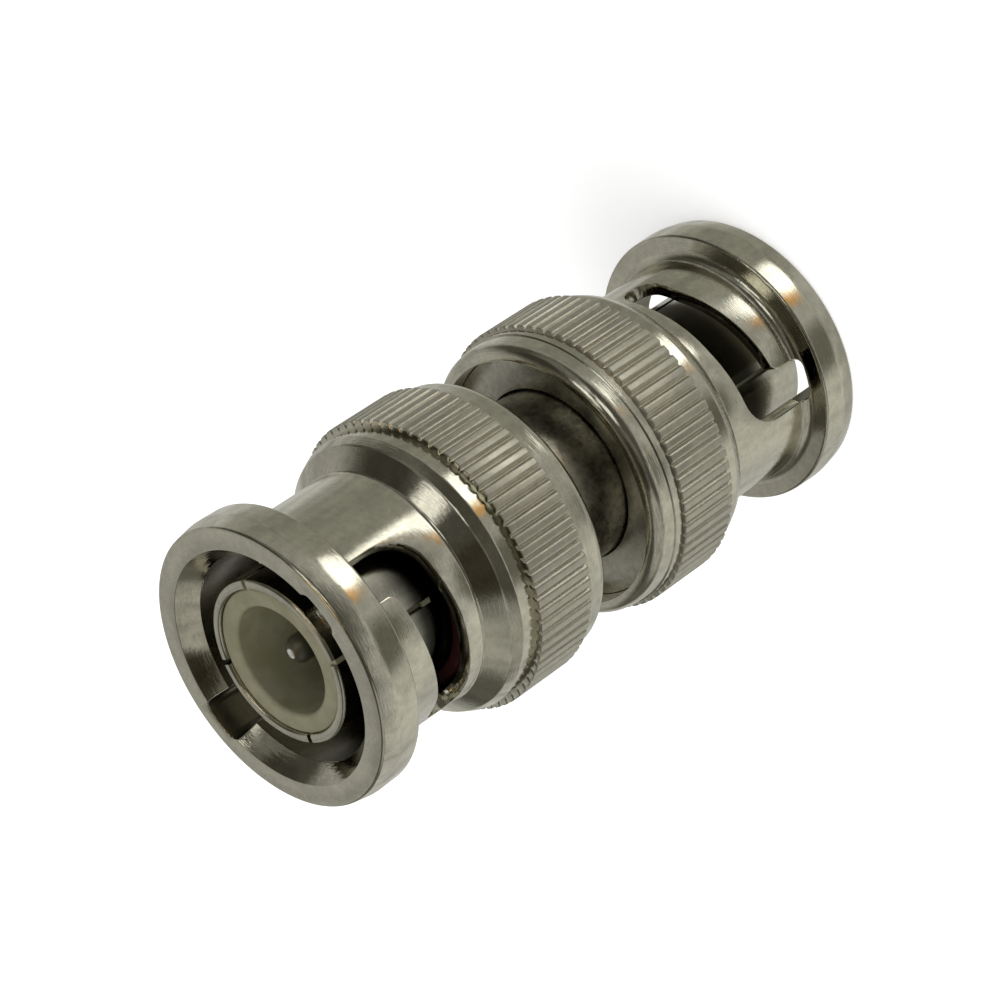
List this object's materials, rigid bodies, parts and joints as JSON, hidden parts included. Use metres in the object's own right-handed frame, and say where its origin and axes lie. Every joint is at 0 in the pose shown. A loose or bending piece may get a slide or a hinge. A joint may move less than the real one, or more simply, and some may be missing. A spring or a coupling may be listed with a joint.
{
  "type": "double-plug coaxial adapter",
  "caption": "Straight coaxial adapter with a bayonet plug at each end: knurled coupling sleeves with helical slots turn and slide against a spring on slit outer contacts.",
  "frame": {"origin": "centre of the bottom plug's mating face, on the connector's axis", "axes": "+Z along the axis, from the bottom plug to the top plug; X and Y across it, with a contact slit on each"},
  "size_m": [0.0148, 0.0148, 0.0329],
  "materials": {
    "sleeve_nickel": "bright nickel plate on turned brass, straight knurl",
    "ring_nickel": "satin nickel plate on turned brass",
    "barrel_nickel": "bright nickel plate on turned brass",
    "contact_nickel": "nickel plate on slit brass tube",
    "pin_plated": "bright plate on brass pin",
    "washer_steel": "plain flat steel washer",
    "spring_steel": "spring steel bent in waves",
    "insulator_plastic": "cream moulded plastic, slightly waxy",
    "gasket_rubber": "dark red rubber"
  },
  "bodies": {
    "root": {"centre_barrel": "barrel_nickel", "centre_pin": "pin_plated", "top_outer_contact": "contact_nickel", "top_insulator": "insulator_plastic", "top_gasket": "gasket_rubber", "top_front_wave_washer": "spring_steel", "top_rear_wave_washer": "spring_steel", "bottom_outer_contact": "contact_nickel", "bottom_insulator": "insulator_plastic", "bottom_gasket": "gasket_rubber", "bottom_front_wave_washer": "spring_steel", "bottom_rear_wave_washer": "spring_steel"},
    "top_thrust": {"top_thrust_washer": "washer_steel"},
    "top_sleeve": {"top_coupling_sleeve": "sleeve_nickel", "top_closing_ring": "ring_nickel"},
    "bottom_thrust": {"bottom_thrust_washer": "washer_steel"},
    "bottom_sleeve": {"bottom_coupling_sleeve": "sleeve_nickel", "bottom_closing_ring": "ring_nickel"}
  },
  "joints": [
    {"name": "top_coupling_slide", "type": "slide", "parent": "root", "child": "top_thrust", "axis": [0, 0, 1], "range_m": [0, 0.0008], "stiffness_N_per_m": 8000, "springref_m": -0.001, "deforming": ["top_front_wave_washer", "top_rear_wave_washer"]},
    {"name": "top_coupling_turn", "type": "hinge", "parent": "top_thrust", "child": "top_sleeve", "pos_m": [0, 0, 0.02146], "axis": [0, 0, 1], "continuous": true},
    {"name": "bottom_coupling_slide", "type": "slide", "parent": "root", "child": "bottom_thrust", "axis": [0, 0, -1], "range_m": [0, 0.0008], "stiffness_N_per_m": 8000, "springref_m": -0.001, "deforming": ["bottom_front_wave_washer", "bottom_rear_wave_washer"]},
    {"name": "bottom_coupling_turn", "type": "hinge", "parent": "bottom_thrust", "child": "bottom_sleeve", "pos_m": [0, 0, 0.0114], "axis": [0, 0, 1], "continuous": true}
  ]
}
